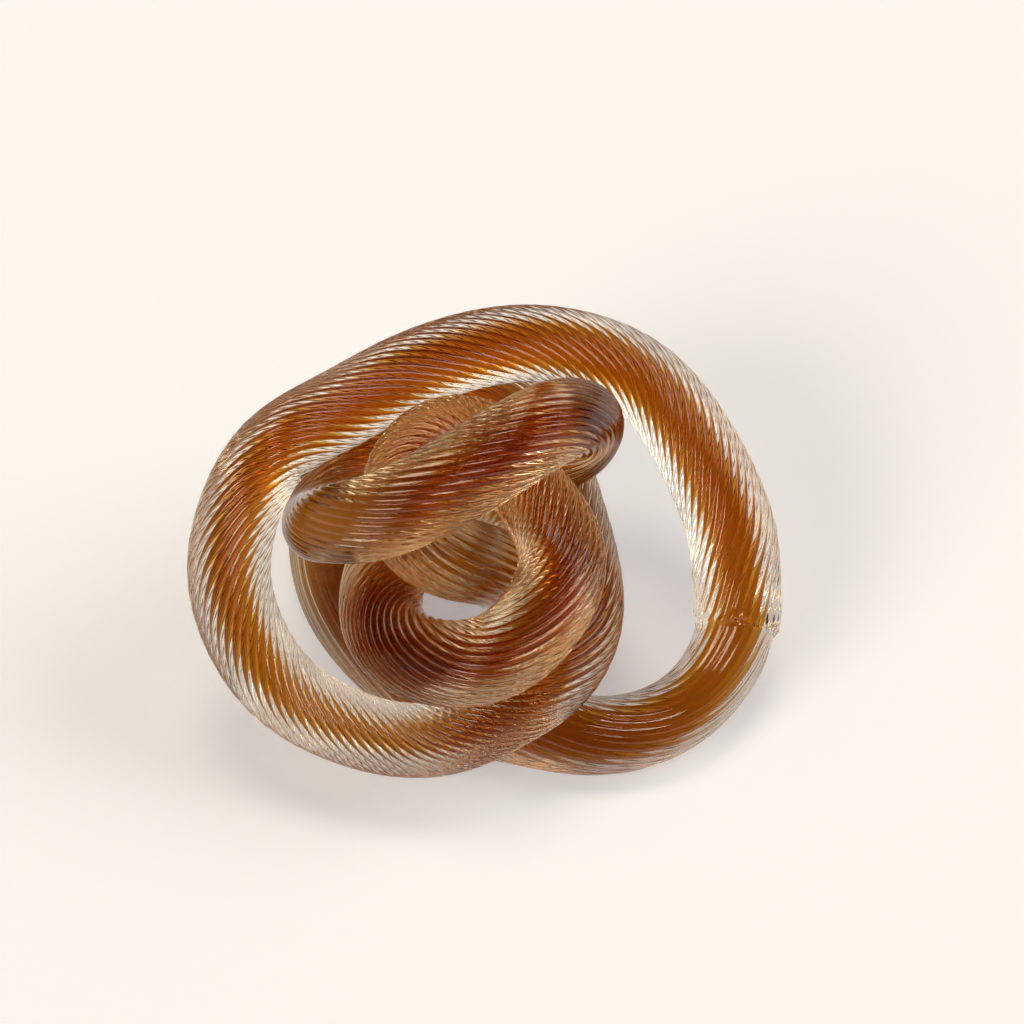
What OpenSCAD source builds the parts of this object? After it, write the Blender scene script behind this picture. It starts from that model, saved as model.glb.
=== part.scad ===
// Glass knot: one length of cased glass cane, wound over and through itself
// while soft, with its two ends welded together. It rests on its bottom turn.

/* [Cane] */
// Thickness of the cane over its clear casing
rod_d = 20; // [16:0.5:28]
// Thickness of the amber core
core_d = 8; // [4:0.5:9]
// Slack between the core and the bore round it
core_slack = 0.1; // [0.05:0.05:0.3]
// Gap that turns keep where they pass each other
turn_gap = 0.4; // [0.3:0.1:1.5]

/* [Weld] */
// Length of the weld bead along the cane
weld_len = 7; // [4:0.5:10]
// How far the bead stands out round the cane
weld_swell = 0.6; // [0.2:0.1:1.5]
// Break in the core inside the weld
core_break = 1; // [0.4:0.2:2]

/* [Foot] */
// Depth of the flats that the bottom turn rests on
foot_flat = 0.5; // [0.3:0.1:1]

/* [Hidden] */

clear_glass = [0.86, 0.84, 0.80, 0.45];
amber_glass = [0.60, 0.27, 0.04];

// Centre line of the cane from the weld round to the weld again: x, y, height over the
// bottom turn's centre line, and thickness as a percentage of rod_d
route = [
  // Bottom turn, from the weld down to the table and round the back
  [52, -13, 15, 104], [47, -22.5, 7, 93], [35.5, -31, 1.5, 91], [19, -34, -0.5, 95],
  [2, -31, 0, 100], [-15, -25, 0, 100], [-31, -11, 0, 100], [-42, 7, 0, 100], [-45, 28, 0, 100],
  [-40, 42, 0, 100], [-28, 51, 0, 100], [-14, 50, 0, 100], [-5, 40, 0, 100], [-2, 27, 0, 100],
  [-3, 15, 2, 100],
  // Climb through the middle and the small ring at its top
  [-4, 4, 13, 100], [-6, -4.5, 26, 97], [-13, -9.5, 36, 100], [-21, -8.5, 41.5, 95],
  [-25, -3, 48, 90], [-22, 4, 54.5, 95], [-13, 7.5, 58, 100], [-3.5, 4.5, 56.5, 100],
  // Middle turn, down the front and back under the ring
  [4, -3, 52, 92], [11, -18, 49, 100], [6, -32, 44, 100], [-5, -39, 39, 100],
  [-19, -34, 31, 100], [-29, -19, 22, 100], [-29, -3, 22, 100], [-22, 8, 27, 100],
  [-12, 17, 33, 100], [2, 20, 37, 100],
  // Wrap over the top, round its left tip and along the back
  [12.5, 15, 45, 93], [16.5, 10, 60, 89], [10, 1, 72, 95], [-2, -8, 73, 100],
  [-18, -16, 68, 100], [-31, -18, 62, 97], [-39.5, -14.5, 55.5, 90], [-43.5, -6, 43.5, 85],
  [-44, 3, 35, 88], [-42, 13, 31, 90], [-36, 23, 30, 95], [-28, 31, 31, 100],
  [-16, 38, 31, 100],
  // Rear turn, from the back down through the knot to the front
  [-4, 41, 29, 100], [6, 39, 23, 100], [10.5, 28, 18, 97], [14.5, 8, 21, 94],
  [16, -11, 24, 100], [14, -24, 23, 100], [8, -34, 22, 95],
  // Outer loop, round the front, the left and the top to the weld
  [0, -39, 19, 90], [-11, -43, 15, 88], [-25, -43, 12, 88], [-40.5, -39.5, 14.5, 90],
  [-54, -32, 20.5, 94], [-62, -22.5, 34, 96], [-62, -13, 49, 95], [-53.5, -1, 62.5, 92],
  [-39, 14, 60, 94], [-22, 28.5, 57, 94], [0, 36.5, 56.5, 93], [20, 36.5, 52.5, 93],
  [33.5, 31.5, 45.5, 97], [43.5, 19.5, 37.5, 103], [50.5, 6, 28, 107], [52, -4, 22, 106]
];
// The route counts in units of which a cane's thickness with its gap takes this many
units_per_pitch = 20.4;
grow = (rod_d + turn_gap) / units_per_pitch;
base_z = rod_d / 2 - foot_flat;

sides = 14;
rings_per_step = 3;
settle_passes = 24;
count = len(route);

// Smooth curve through the route: the slope at each point settles, pass by pass, to the one
// that gives equal bending on both sides of the point
function loop(i) = (i + count) % count;
function chord(i) = route[loop(i + 1)] - route[loop(i - 1)];
chords = [for (i = [0:count - 1]) chord(i)];
function settle(m, passes) = passes < 1 ? m :
  settle([for (i = [0:count - 1]) (3 * chords[i] - m[loop(i - 1)] - m[loop(i + 1)]) / 4], passes - 1);
slopes = settle(chords / 2, settle_passes);

// Point of the curve at t route steps from the weld, and its direction times its speed there
function curve(t) =
  let (i = floor(t), f = t - i, a = loop(i), b = loop(i + 1))
  route[a] * (1 + 2 * f) * pow(1 - f, 2) + slopes[a] * f * pow(1 - f, 2)
  + route[b] * f * f * (3 - 2 * f) + slopes[b] * f * f * (f - 1);
function speed(t) =
  let (i = floor(t), f = t - i, a = loop(i), b = loop(i + 1))
  (route[a] - route[b]) * 6 * f * (f - 1) + slopes[a] * (1 - f) * (1 - 3 * f)
  + slopes[b] * f * (3 * f - 2);
function xyz(p) = [p[0], p[1], p[2]];
function centre(t) = grow * xyz(curve(t)) + [0, 0, base_z];
function radius(t) = rod_d / 2 * curve(t)[3] / 100;
function heading(t) = let (v = xyz(speed(t))) v / norm(v);

// Route steps at which the cane is cut into its turns
weld_speed = grow * norm(xyz(speed(0)));
weld_end = weld_len / 2 / weld_speed;
core_end = core_break / 2 / weld_speed;
cuts = [weld_end, 8, 15, 23, 32, 45, 52, count - weld_end];
function steps_between(a, b) =
  let (n = ceil((b - a) * rings_per_step))
  [for (i = [0:n]) a + (b - a) * i / n];
turns = [for (k = [0:len(cuts) - 2]) steps_between(cuts[k], cuts[k + 1])];
core_steps = steps_between(core_end, count - core_end);
weld_steps = [for (i = [-3:3]) i / 3 * weld_end];

// Middle of the knot's box, which sits over the origin
nearest = [for (t = core_steps) centre(t) - radius(t) * [1, 1, 0]];
farthest = [for (t = core_steps) centre(t) + radius(t) * [1, 1, 0]];
function column(rows, k) = [for (row = rows) row[k]];
function halfway(k) = (min(column(nearest, k)) + max(column(farthest, k))) / 2;
middle = [halfway(0), halfway(1), 0];

// Vectors square to the cane at each step, carried along it without twisting
function carry(u, along) = let (v = u - (u * along) * along) v / norm(v);
function frames(steps) =
  let (way = [for (t = steps) heading(t)], last = len(steps) - 1)
  [for (i = 0, u = carry([0, 0, 1], way[0]); i <= last; i = i + 1, u = i <= last ? carry(u, way[i]) : u)
    [u, cross(way[i], u)]];

// Rings of points round the cane, with the part of the bottom turn under the table cut flat
function ring(t, frame, r) =
  [for (k = [0:sides - 1])
    let (a = 360 * (k + 0.5) / sides)
    let (p = centre(t) - middle + r * (cos(a) * frame[0] + sin(a) * frame[1]))
    [p.x, p.y, max(p.z, 0)]];
function rings(steps, radii) =
  let (f = frames(steps)) [for (i = [0:len(steps) - 1]) ring(steps[i], f[i], radii[i])];

// Triangles between each ring and the next
function skin(from, to) =
  [for (k = [0:sides - 1]) let (a = from * sides, b = to * sides, m = (k + 1) % sides)
    each [[a + k, b + k, b + m], [a + k, b + m, a + m]]];
function flat_list(rows) = [for (row = rows) each row];
function reversed(rows) = [for (i = [len(rows) - 1:-1:0]) rows[i]];

// Rod with flat ends
module swept_rod(steps, radii) {
  n = len(steps);
  walls = [for (i = [0:n - 2]) each skin(i, i + 1)];
  caps = [for (k = [1:sides - 2])
    each [[0, k, k + 1], [(n - 1) * sides, (n - 1) * sides + k + 1, (n - 1) * sides + k]]];
  polyhedron(flat_list(rings(steps, radii)), concat(walls, caps));
}

// Tube: the rings of the outside, then those of the bore back to the start
module swept_tube(steps, radii, bore_d) {
  n = 2 * len(steps);
  bore = rings(steps, [for (t = steps) bore_d / 2]);
  shell = concat(rings(steps, radii), reversed(bore));
  polyhedron(flat_list(shell), [for (i = [0:n - 1]) each skin(i, (i + 1) % n)]);
}

bore_d = core_d + core_slack;

module casing(k) {
  color(clear_glass)
    swept_tube(turns[k], [for (t = turns[k]) radius(t)], bore_d);
}

module base_turn() { casing(0); }
module base_hoop() { casing(1); }
module inner_ring() { casing(2); }
module middle_turn() { casing(3); }
module front_wrap() { casing(4); }
module rear_turn() { casing(5); }
module outer_loop() { casing(6); }

// Bead that swells over the joint of the two cane ends
function bead(t) = radius(t) + weld_swell * cos(90 * t / weld_end);
module seam_weld() {
  color(clear_glass)
    swept_tube(weld_steps, [for (t = weld_steps) bead(t)], bore_d);
}

module amber_core() {
  color(amber_glass)
    swept_rod(core_steps, [for (t = core_steps) core_d / 2]);
}

// Least gap between turns, measured from point to point
apart = 12;
function room(a, b) = norm(centre(a) - centre(b)) - radius(a) - radius(b);
last_step = len(core_steps) - 1;
gaps = [for (i = [0:last_step], j = [i + apart:last_step])
  if (last_step - j + i > apart) room(core_steps[i], core_steps[j])];
echo(str("least gap between turns: ", min(gaps), " mm"));

base_turn();
base_hoop();
inner_ring();
middle_turn();
front_wrap();
rear_turn();
outer_loop();
seam_weld();
amber_core();
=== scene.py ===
import bpy
import numpy as np
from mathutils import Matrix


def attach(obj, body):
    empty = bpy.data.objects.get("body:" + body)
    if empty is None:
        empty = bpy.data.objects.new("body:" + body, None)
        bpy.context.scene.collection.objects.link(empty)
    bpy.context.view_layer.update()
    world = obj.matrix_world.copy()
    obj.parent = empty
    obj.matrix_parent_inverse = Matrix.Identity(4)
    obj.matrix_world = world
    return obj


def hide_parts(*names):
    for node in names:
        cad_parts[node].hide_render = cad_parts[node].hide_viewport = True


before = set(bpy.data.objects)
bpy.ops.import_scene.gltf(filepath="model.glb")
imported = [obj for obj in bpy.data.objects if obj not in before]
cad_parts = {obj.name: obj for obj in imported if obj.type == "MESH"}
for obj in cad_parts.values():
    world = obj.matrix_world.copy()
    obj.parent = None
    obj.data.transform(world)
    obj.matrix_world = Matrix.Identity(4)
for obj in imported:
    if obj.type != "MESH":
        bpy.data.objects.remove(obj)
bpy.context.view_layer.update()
print("frame loaded:", ", ".join(sorted(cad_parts)))

mm = 0.001    # metres


class Shade:
    # One socket of a node tree: sums and products of sockets add Math nodes

    def __init__(self, tree, socket=None):
        self.tree = tree
        self.socket = socket

    def make(self, kind, settings=None, sockets=None, out=0):
        # Any node by its type, its settings first, then values or links for its sockets
        node = self.tree.nodes.new("ShaderNode" + kind)
        for name, value in (settings or {}).items():
            setattr(node, name, value)
        for name, value in (sockets or {}).items():
            if isinstance(value, Shade):
                self.tree.links.new(value.socket, node.inputs[name])
            else:
                node.inputs[name].default_value = value
        return Shade(self.tree, node.outputs[out] if node.outputs else None)

    def maths(self, operation, first, second):
        # One Math node on two sockets or numbers
        return self.make("Math", {"operation": operation}, {0: first, 1: second})

    def between(self, low, high):
        # 0 below low, 1 above high, and a soft step from one to the other
        return self.make("MapRange", {"interpolation_type": "SMOOTHSTEP"},
                         {"Value": self, "From Min": low, "From Max": high})

    def blend(self, first, second):
        # First colour at 0, second colour at 1
        return self.make("Mix", {"data_type": "RGBA"}, {0: self, 6: first, 7: second}, out=2)

    def __add__(self, other):
        return self.maths("ADD", self, other)

    def __radd__(self, other):
        return self.maths("ADD", other, self)

    def __sub__(self, other):
        return self.maths("SUBTRACT", self, other)

    def __rsub__(self, other):
        return self.maths("SUBTRACT", other, self)

    def __mul__(self, other):
        return self.maths("MULTIPLY", self, other)

    def __rmul__(self, other):
        return self.maths("MULTIPLY", other, self)


def emptyTree(owner):
    # A material's or a world's node tree with nothing in it
    owner.use_nodes = True
    owner.node_tree.nodes.clear()
    return Shade(owner.node_tree)


# Centre line of the cane from the weld round to the weld again, as the solids follow it. Each row
# is x, y and height over the bottom turn's centre line in mm, thickness as a percentage of the
# cane's, and the slant of the ribs off the cane's own direction in degrees.
route = np.array([
    # bottom turn, from the weld down to the table and round the back
    (52, -13, 15, 104, 15), (47, -22.5, 7, 93, 6), (35.5, -31, 1.5, 91, 13), (19, -34, -0.5, 95, 14),
    (2, -31, 0, 100, 14), (-15, -25, 0, 100, 14), (-31, -11, 0, 100, 10), (-42, 7, 0, 100, 8),
    (-45, 28, 0, 100, 8), (-40, 42, 0, 100, 8), (-28, 51, 0, 100, 8), (-14, 50, 0, 100, 8),
    (-5, 40, 0, 100, 9), (-2, 27, 0, 100, 10), (-3, 15, 2, 100, 10),
    # climb through the middle and the small ring at its top
    (-4, 4, 13, 100, 8), (-6, -4.5, 26, 97, 8), (-13, -9.5, 36, 100, 8), (-21, -8.5, 41.5, 95, 14),
    (-25, -3, 48, 90, 30), (-22, 4, 54.5, 95, 42), (-13, 7.5, 58, 100, 46), (-3.5, 4.5, 56.5, 100, 44),
    # middle turn, down the front and back under the ring
    (4, -3, 52, 92, 40), (11, -18, 49, 100, 28), (6, -32, 44, 100, 21), (-5, -39, 39, 100, 32),
    (-19, -34, 31, 100, 32), (-29, -19, 22, 100, 34), (-29, -3, 22, 100, 30), (-22, 8, 27, 100, 24),
    (-12, 17, 33, 100, 22), (2, 20, 37, 100, 22),
    # wrap over the top, round its left tip and along the back
    (12.5, 15, 45, 93, 26), (16.5, 10, 60, 89, 28), (10, 1, 72, 95, 32), (-2, -8, 73, 100, 27),
    (-18, -16, 68, 100, 28), (-31, -18, 62, 97, 25), (-39.5, -14.5, 55.5, 90, 28),
    (-43.5, -6, 43.5, 85, 28), (-44, 3, 35, 88, 26), (-42, 13, 31, 90, 24), (-36, 23, 30, 95, 24),
    (-28, 31, 31, 100, 24), (-16, 38, 31, 100, 24),
    # rear turn, from the back down through the knot to the front
    (-4, 41, 29, 100, 22), (6, 39, 23, 100, 20), (10.5, 28, 18, 97, 18), (14.5, 8, 21, 94, 16),
    (16, -11, 24, 100, 18), (14, -24, 23, 100, 22), (8, -34, 22, 95, 34),
    # outer loop, round the front, the left and the top to the weld
    (0, -39, 19, 90, 38), (-11, -43, 15, 88, 41), (-25, -43, 12, 88, 34), (-40.5, -39.5, 14.5, 90, 36),
    (-54, -32, 20.5, 94, 26), (-62, -22.5, 34, 96, 22), (-62, -13, 49, 95, 19),
    (-53.5, -1, 62.5, 92, 31), (-39, 14, 60, 94, 24), (-22, 28.5, 57, 94, 28), (0, 36.5, 56.5, 93, 27),
    (20, 36.5, 52.5, 93, 30), (33.5, 31.5, 45.5, 97, 26), (43.5, 19.5, 37.5, 103, 32),
    (50.5, 6, 28, 107, 25), (52, -4, 22, 106, 25),
], float)

cane = {
    "thickness": 20.0,     # mm over the ribs, where a row of the route says 100
    "footFlat": 0.5,       # mm that the bottom turn is flattened by where it stands
    "settlePasses": 24,    # times that the curve's slopes are evened out
    "rings": 556,          # rings of points along the cane
    "weldRings": 16,       # more of them on each side of the weld
    "weldSteps": 0.5,      # over this many steps of the route
}


def settledSlopes(points):
    # Slope of a closed smooth curve at each point: three quarters of the chord over the point less
    # a quarter of both neighbours' slopes, repeated until bending agrees on both sides of it
    chord = np.roll(points, -1, 0) - np.roll(points, 1, 0)
    slope = chord / 2
    for _ in range(cane["settlePasses"]):
        slope = (3 * chord - np.roll(slope, 1, 0) - np.roll(slope, -1, 0)) / 4
    return slope


def routeAt(t):
    # Cubic from each route point to the next that keeps both points and both slopes, and its speed
    slope = settledSlopes(route)
    here = np.floor(t).astype(int) % len(route)
    there = (here + 1) % len(route)
    f = (t - np.floor(t))[:, None]
    a, b, p, q = route[here], route[there], slope[here], slope[there]
    leaving = a * (1 + 2 * f) * (1 - f) ** 2 + p * f * (1 - f) ** 2
    point = leaving + b * f * f * (3 - 2 * f) + q * f * f * (f - 1)
    speed = (a - b) * 6 * f * (f - 1) + p * (1 - f) * (1 - 3 * f) + q * f * (3 * f - 2)
    return point, speed


def carriedSides(way):
    # A vector square to the cane, carried from ring to ring and turned only as far as the cane bends
    side = np.empty_like(way)
    side[0] = np.cross(way[0], (0.0, 0.0, 1.0))
    side[0] /= np.linalg.norm(side[0])
    for i in range(1, len(way)):
        step = side[i - 1] - (side[i - 1] @ way[i]) * way[i]
        side[i] = step / np.linalg.norm(step)
    return side


# route steps of all rings, closer together at the weld; the last ring lies on the first
close, far = cane["weldSteps"], len(route) - cane["weldSteps"]
t = np.concatenate([np.linspace(0, close, cane["weldRings"], endpoint=False),
                    np.linspace(close, far, cane["rings"], endpoint=False),
                    np.linspace(far, len(route), cane["weldRings"] + 1)])
line, speed = routeAt(t)
centre = line[:, :3] + (0, 0, cane["thickness"] / 2 - cane["footFlat"])
radius = line[:, 3] / 100 * cane["thickness"] / 2
low, high = (centre - radius[:, None]).min(0), (centre + radius[:, None]).max(0)
middle = np.array([(low[0] + high[0]) / 2, (low[1] + high[1]) / 2, 0])
centre -= middle
way = speed[:, :3] / np.linalg.norm(speed[:, :3], axis=1)[:, None]
side = carriedSides(way)
up = np.cross(way, side)
gap = np.linalg.norm(np.diff(centre, axis=0), axis=1)

# mm along the cane from the weld and left to it again, and the angle by which the carried sides
# miss each other where the cane closes
along = np.concatenate([[0], np.cumsum(gap)])
before = along[-1] - along
closing = np.arctan2(side[-1] @ up[0], side[-1] @ side[0])
print("cane: %.0f mm long, middle %.2f %.2f" % (along[-1], middle[0], middle[1]))


def sweptLoop(name, radii, angles, material):
    # Closed tube along the cane: point (ring, column) is the centre plus radii(ring, column) towards
    # angles(ring, column), flattened at the table; the last ring joins the first, column on column,
    # and the mapping counts turns round the cane and mm along it
    rings, columns = len(t) - 1, radii.shape[1]
    rim = np.cos(angles)[..., None] * side[:, None] + np.sin(angles)[..., None] * up[:, None]
    points = centre[:, None] + radii[..., None] * rim
    points[..., 2] = np.maximum(points[..., 2], 0)
    shift = int(round((angles[-1, 0] + closing - angles[0, 0]) / (2 * np.pi / columns)))
    i, j = np.meshgrid(np.arange(rings), np.arange(columns), indexing="ij")
    nextRing, nextColumn = (i + 1) % rings, (j + 1) % columns
    moved = np.where(i == rings - 1, shift, 0)
    quads = np.stack([i * columns + j, i * columns + nextColumn,
                      nextRing * columns + (nextColumn + moved) % columns,
                      nextRing * columns + (j + moved) % columns], -1).reshape(-1, 4)
    mapping = np.stack([np.stack([j, j + 1, j + 1, j], -1) / columns,
                        along[np.stack([i, i, i + 1, i + 1], -1)]], -1).reshape(-1, 2)
    mesh = bpy.data.meshes.new(name)
    mesh.vertices.add(rings * columns)
    mesh.vertices.foreach_set("co", (points[:-1] * mm).astype(np.float32).ravel())
    mesh.loops.add(quads.size)
    mesh.loops.foreach_set("vertex_index", quads.ravel().astype(np.int32))
    mesh.polygons.add(len(quads))
    mesh.polygons.foreach_set("loop_start", np.arange(0, quads.size, 4, dtype=np.int32))
    mesh.polygons.foreach_set("use_smooth", np.ones(len(quads), bool))
    mesh.uv_layers.new(name="caneMap").data.foreach_set("uv", mapping.astype(np.float32).ravel())
    mesh.update()
    mesh.validate()
    mesh.materials.append(material)
    piece = bpy.data.objects.new(name, mesh)
    bpy.context.collection.objects.link(piece)
    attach(piece, "root")
    return piece


casing = {
    "inset": 0.25,         # mm that the rib crests stay inside the solids
    "ribs": 28,
    "acrossRib": (0, 0.10, 0.29, 0.5, 0.71, 0.90),    # columns of points, from valley to valley
    # route step, and mm from crest to valley there: deepest in the small ring and the middle turn
    "ribDepth": ((0, 0.50), (17, 0.50), (20, 0.80), (25.5, 0.75), (28, 0.50), (69, 0.50)),
    "ribStart": 160.0,     # mm after the weld over which flattened ribs rise to full depth
    "ribLeast": 0.38,      # share of the depth that is left just after the weld
    "ribEnd": 1.5,         # mm over which they run out before it at its sides
    "ribEndTop": 12.0,     # mm over which they run out before it on top
    "neck": 1.5,           # mm that the cane's sides are drawn in after it, less what is eased off
    "neckRise": 1.0,       # mm over which that sets in
    "neckReach": 7.0,      # mm over which the sides fill out again
    "lipSwell": 0.3,       # mm that the lips on both sides of the weld stand out
    "lipReach": 1.9,       # mm from the weld to a lip's crest
    "lipWidth": 1.2,       # mm
    "crease": 0.75,        # mm that the weld is drawn in
    "creaseWidth": 0.7,    # mm
    "creaseWander": 1.0,   # mm that the weld runs up and down the cane
    "creaseWaves": ((3, 0.6, 1.0), (7, 2.0, 0.5)),    # waves round the cane, start in radians, share
    "sidePower": 3,        # how fast the weld's lips, crease and neck fade from its sides to its top
    "streaks": (1.0, 0.03, 1.0),    # noise cells to a turn round the cane and to a mm along it
    "streakScale": 2.0,
    "streakDetail": 3.0,
    "hazeRange": (0.45, 0.8),       # streak values from no haze to full haze
    "clear": (1.0, 1.0, 1.0),
    "cloudy": (0.955, 0.945, 0.93),
    "paintedAmberLight": (0.99, 0.85, 0.60),    # painted amber light: a warm tint on the inner turns that stands in for light reaching them through the other amber turns
    "paintedAmberLightFrom": (45, 80),          # mm along the cane over which that begins
    "paintedAmberLightTo": (740, 775),          # and over which it ends
    "gloss": 0.008,                 # roughness of clear glass
    "hazeGloss": 0.02,              # roughness that full haze adds
    "bumpStrength": 0.04,
    "bumpHeight": 0.0003,           # m
    "bend": 1.5,                    # index of refraction
    "tint": (0.914, 0.771, 0.43),
    "tintDensity": 14.0,            # per metre, of what the tint lacks
}


def clearGlass():
    # Clear glass with long faint streaks of haze, and between two places along the cane a honey tint of
    # painted amber light, for light that reaches the inner turns through the other amber turns; haze
    # makes it rougher, and the streaks lift its surface a little
    s = emptyTree(bpy.data.materials.new("clearGlass"))
    mapping = s.make("UVMap", {"uv_map": "caneMap"})
    drawn = s.make("Mapping", None, {"Vector": mapping, "Scale": casing["streaks"]})
    streak = s.make("TexNoise", None, {
        "Vector": drawn, "Scale": casing["streakScale"], "Detail": casing["streakDetail"]})
    haze = streak.between(*casing["hazeRange"])
    place = s.make("SeparateXYZ", None, {"Vector": mapping}, out=1)
    # painted amber light: the inner turns are tinted warm where light through the other amber turns
    # would reach them
    amberLitTurns = place.between(*casing["paintedAmberLightFrom"]) * (1 - place.between(*casing["paintedAmberLightTo"]))
    outer = haze.blend((*casing["clear"], 1), (*casing["cloudy"], 1))
    colour = amberLitTurns.blend(outer, (*casing["paintedAmberLight"], 1))
    rough = casing["gloss"] + casing["hazeGloss"] * haze
    bump = s.make("Bump", None, {
        "Height": streak, "Strength": casing["bumpStrength"], "Distance": casing["bumpHeight"]})
    glass = s.make("BsdfPrincipled", None, {
        "Base Color": colour, "Roughness": rough, "IOR": casing["bend"], "Transmission Weight": 1.0,
        "Normal": bump})
    tint = s.make("VolumeAbsorption", None, {
        "Color": (*casing["tint"], 1), "Density": casing["tintDensity"]})
    s.make("OutputMaterial", None, {"Surface": glass, "Volume": tint})
    return bpy.data.materials["clearGlass"]


# angle by which the ribs have turned at each ring: the running sum of tan(slant) over the radius,
# eased so that ribs meet ribs where the cane closes
turnRate = np.tan(np.radians(line[:, 4])) / radius
ribTurn = np.concatenate([[0], np.cumsum(gap * (turnRate[1:] + turnRate[:-1]) / 2)])
pitch = 2 * np.pi / casing["ribs"]
slip = (ribTurn[-1] + closing + pitch / 2) % pitch - pitch / 2
ribTurn -= slip * along / along[-1]

# Casing: ribs bulge outwards and meet in sharp valleys, the cane's radius less the depth times one
# minus the sine of half a turn across the rib. After the weld they rise with the square root of the
# way, from a least share of their depth to all of it.
acrossRib = np.tile(casing["acrossRib"], casing["ribs"])
ribNumber = np.repeat(np.arange(casing["ribs"]), len(casing["acrossRib"]))
ribShape = 1 - np.sin(np.pi * acrossRib)
afterWeld = casing["ribLeast"] + (1 - casing["ribLeast"]) * np.sqrt(along / casing["ribStart"])
casingAngles = (ribNumber + acrossRib) * pitch + ribTurn[:, None]

# The weld's line wanders on two sines. Its lips, its crease and the neck after it are full on the
# left and right of the cane and fade out towards the top, and before it the ribs run out faster at
# the sides than on top.
seamTurn = casingAngles[:1]
wander = casing["creaseWander"] * sum(
    share * np.sin(waves * seamTurn + start) for waves, start, share in casing["creaseWaves"])
fromWeld = np.abs(np.where(along < before, along, -before)[:, None] - wander)
sideways = np.abs(np.cos(seamTurn) * side[0, 0] + np.sin(seamTurn) * up[0, 0])
atSides = sideways ** casing["sidePower"]
runOut = casing["ribEnd"] + (casing["ribEndTop"] - casing["ribEnd"]) * (1 - atSides)
ribFade = np.clip(np.minimum(afterWeld[:, None], before[:, None] / runOut), 0, 1)
neckRise = 1 - np.exp(-(along / casing["neckRise"]) ** 2)
neck = casing["neck"] * neckRise * np.exp(-along / casing["neckReach"])
lips = casing["lipSwell"] * np.exp(-((fromWeld - casing["lipReach"]) / casing["lipWidth"]) ** 2)
crease = casing["crease"] * np.exp(-(fromWeld / casing["creaseWidth"]) ** 2)
ribDepth = np.interp(t, *np.transpose(casing["ribDepth"]))
casingRadii = (radius - casing["inset"])[:, None] + atSides * (lips - crease - neck[:, None])
casingRadii -= ribDepth[:, None] * ribFade * ribShape
ribbedCasing = sweptLoop("ribbedCasing", casingRadii, casingAngles, clearGlass())
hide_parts("base_turn", "base_hoop", "inner_ring", "middle_turn", "front_wrap",
            "rear_turn", "outer_loop", "seam_weld")
print("casing:", len(ribbedCasing.data.polygons), "faces")

core = {
    # route step, and the core's share of the cane's radius there: drawn thin in the climb through the
    # middle and in the front of the outer loop, thick in the top arc and the rear turn
    "share": ((0, 0.40), (1.5, 0.48), (3, 0.53), (8, 0.50), (10, 0.38), (15, 0.22), (18, 0.22),
              (20, 0.29), (22, 0.32), (24, 0.40), (28, 0.43), (31, 0.42), (34, 0.40), (36, 0.37),
              (38, 0.41), (39.5, 0.46), (41, 0.46), (44, 0.41), (47, 0.53), (50, 0.54), (53, 0.33),
              (55.5, 0.32), (57, 0.37), (59, 0.43), (62, 0.52), (64, 0.53), (66.5, 0.46), (69, 0.40)),
    "columns": 32,
    "streaks": (3.0, 0.02, 1.0),    # noise cells to a turn round the core and to a mm along it
    "streakScale": 2.0,
    "streakDetail": 4.0,
    "streakRange": (0.35, 0.7),     # streak values from pale to deep
    "pale": (0.98, 0.88, 0.66),
    "deep": (0.88, 0.70, 0.42),
    "bend": 1.0,                    # index of refraction against the casing, which it is fused to
    "amber": (0.8615, 0.638, 0.046),
    "amberDensity": 650.0,          # per metre, of what the amber lacks
    "milk": (0.80, 0.37, 0.06),
    "milky": 0.6,                   # share of the light that a milky stretch of the core scatters
    # mm along the cane over which such a stretch begins, and over which it ends: the left of the
    # bottom turn, the climb through the middle, the left tip of the wrap and the rear turn's bend
    "milkyStretches": (((110, 135), (158, 178)), ((240, 255), (285, 300)), ((560, 590), (615, 645)),
                       ((672, 690), (705, 725))),
}


def amberGlass():
    # Amber that deepens with the way through it, in pale and deep streaks; in its milky stretches a
    # share of the light is scattered
    s = emptyTree(bpy.data.materials.new("amberGlass"))
    mapping = s.make("UVMap", {"uv_map": "caneMap"})
    drawn = s.make("Mapping", None, {"Vector": mapping, "Scale": core["streaks"]})
    streak = s.make("TexNoise", None, {
        "Vector": drawn, "Scale": core["streakScale"], "Detail": core["streakDetail"]})
    colour = streak.between(*core["streakRange"]).blend((*core["pale"], 1), (*core["deep"], 1))
    glass = s.make("BsdfPrincipled", None, {
        "Base Color": colour, "Roughness": 0.0, "IOR": core["bend"], "Transmission Weight": 1.0})
    place = s.make("SeparateXYZ", None, {"Vector": mapping}, out=1)
    milky = sum(place.between(*start) * (1 - place.between(*stop))
                for start, stop in core["milkyStretches"])
    milk = s.make("BsdfDiffuse", None, {"Color": (*core["milk"], 1)})
    surface = s.make("MixShader", None, {0: milky * core["milky"], 1: glass, 2: milk})
    amber = s.make("VolumeAbsorption", None, {
        "Color": (*core["amber"], 1), "Density": core["amberDensity"]})
    s.make("OutputMaterial", None, {"Surface": surface, "Volume": amber})
    return bpy.data.materials["amberGlass"]


# Core: a round thread whose radius is a share of the cane's
coreColumns = np.arange(core["columns"]) * 2 * np.pi / core["columns"]
share = np.interp(t, *np.transpose(core["share"]))
coreRadii = np.repeat((radius * share)[:, None], core["columns"], 1)
coreTurn = -closing * along / along[-1]
coreThread = sweptLoop("coreThread", coreRadii, coreColumns + coreTurn[:, None], amberGlass())
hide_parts("amber_core")
print("core:", len(coreThread.data.polygons), "faces")

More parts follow.
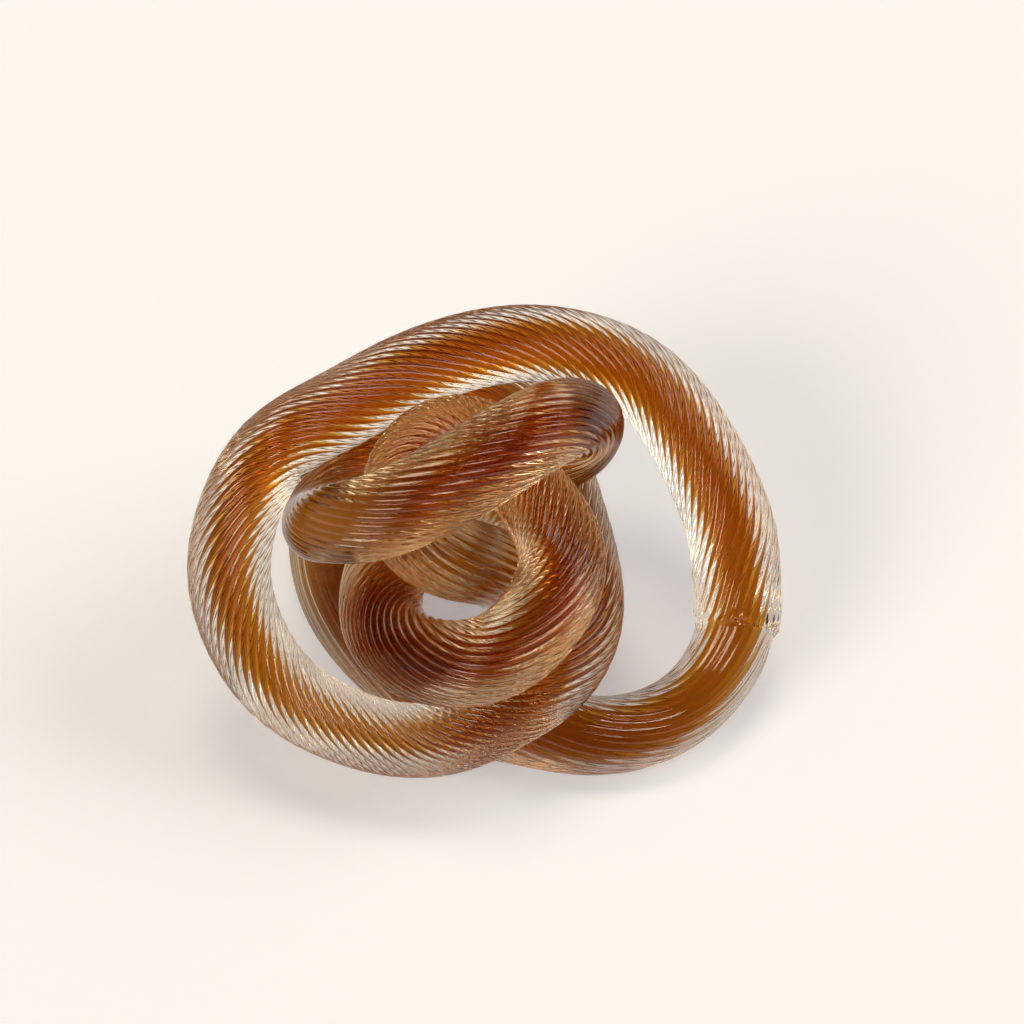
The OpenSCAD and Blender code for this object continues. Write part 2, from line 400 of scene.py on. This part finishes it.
studio = {
    "floorReach": 0.7,          # m
    "floorSides": 96,
    "floorDrop": 0.0002,        # m under the table level, so that the knot doesn't sink into it
    "paper": (0.75, 0.765, 0.79),    # what the floor scatters, cool because the light is warm
    "glowColour": (0.86, 0.92, 1.0),
    "glow": 0.32,               # added where the camera looks at the floor
    "glassGlow": 0.23,          # and where glass shows it
    "wall": (0.08, 0.065, 0.05),
    "windows": (                # direction, half width as a cosine, softness, strength, colour
        ((0.72, 0.08, 0.70), 0.95, 0.02, 3.8, (1, 0.96, 0.88)),
        ((-0.56, -0.56, 0.55), 0.965, 0.015, 7.5, (1, 0.86, 0.68)),
        ((0.0, 0.15, 0.99), 0.985, 0.007, 8.0, (1, 0.88, 0.72)),
        ((-0.90, 0.05, 0.40), 0.78, 0.15, 0.3, (1, 0.62, 0.30)),
        ((0.70, 0.70, 0.20), 0.90, 0.06, 0.7, (1, 0.72, 0.45)),
    ),
}


def makeFloor():
    # Flat disc under the knot, with a glow that only the camera and rays from glass see
    sides, reach = studio["floorSides"], studio["floorReach"]
    turn = np.arange(sides) * 2 * np.pi / sides
    height = np.full(sides, -studio["floorDrop"])
    points = np.stack([np.cos(turn) * reach, np.sin(turn) * reach, height], -1)
    mesh = bpy.data.meshes.new("paleFloor")
    mesh.from_pydata(points.tolist(), [], [list(range(sides))])
    s = emptyTree(bpy.data.materials.new("palePaper"))
    direct = s.make("LightPath", out="Is Camera Ray")
    glassy = s.make("LightPath", out="Is Glossy Ray") + s.make("LightPath", out="Is Transmission Ray")
    shown = direct * studio["glow"] + glassy.between(0, 1) * (1 - direct) * studio["glassGlow"]
    paper = s.make("BsdfDiffuse", None, {"Color": (*studio["paper"], 1)})
    glow = s.make("Emission", None, {"Color": (*studio["glowColour"], 1), "Strength": shown})
    both = s.make("AddShader", None, {0: paper, 1: glow})
    s.make("OutputMaterial", None, {"Surface": both})
    mesh.materials.append(bpy.data.materials["palePaper"])
    floor = bpy.data.objects.new("paleFloor", mesh)
    bpy.context.collection.objects.link(floor)


def makeWorld():
    # A dark room with soft round windows, each a soft step on the cosine of the angle to its middle,
    # and plain white where the camera looks past the floor
    world = bpy.data.worlds.new("studio")
    bpy.context.scene.world = world
    s = emptyTree(world)
    direction = s.make("TexCoord")
    room = s.make("Background", None, {"Color": (*studio["wall"], 1), "Strength": 1.0})
    for towards, edge, soft, strength, colour in studio["windows"]:
        unit = np.array(towards) / np.linalg.norm(towards)
        near = s.make("VectorMath", {"operation": "DOT_PRODUCT"}, {0: direction, 1: tuple(unit)}, out=1)
        lit = strength * near.between(edge - soft, edge + soft)
        window = s.make("Background", None, {"Color": (*colour, 1), "Strength": lit})
        room = s.make("AddShader", None, {0: room, 1: window})
    white = s.make("Background", None, {"Color": (1, 1, 1, 1), "Strength": 1.0})
    direct = s.make("LightPath", out="Is Camera Ray")
    picked = s.make("MixShader", None, {0: direct, 1: room, 2: white})
    s.make("OutputWorld", None, {"Surface": picked})


photoView = {
    "tilt": 53,            # degrees that the camera looks down
    "distance": 600,       # mm from the camera to its target
    "targetHeight": 50,    # mm over the table
    "pixelsPerMm": 4.4,    # at the target
    "pixels": 1024,        # across the picture
    "sensor": 36,          # mm
}


def makeCamera():
    # Lens: sensor width times the pixels that the distance would take, over the picture's pixels
    tilt, distance = np.radians(photoView["tilt"]), photoView["distance"]
    target = np.array([0, 0, photoView["targetHeight"]]) - middle
    data = bpy.data.cameras.new("photoView")
    data.sensor_width = photoView["sensor"]
    data.lens = photoView["sensor"] * photoView["pixelsPerMm"] * distance / photoView["pixels"]
    camera = bpy.data.objects.new("photoView", data)
    camera.location = (target + distance * np.array([0, -np.cos(tilt), np.sin(tilt)])) * mm
    camera.rotation_euler = (np.pi / 2 - tilt, 0, 0)
    bpy.context.collection.objects.link(camera)
    bpy.context.scene.camera = camera


# light that enters a ribbed turn meets many faces before it leaves the knot
bounces = {"max_bounces": 48, "transmission_bounces": 48, "glossy_bounces": 12,
           "transparent_max_bounces": 16}

makeFloor()
makeWorld()
makeCamera()
scene = bpy.context.scene
scene.view_settings.view_transform = "Standard"
for kind, count in bounces.items():
    setattr(scene.cycles, kind, count)
print("stage, light and camera set")
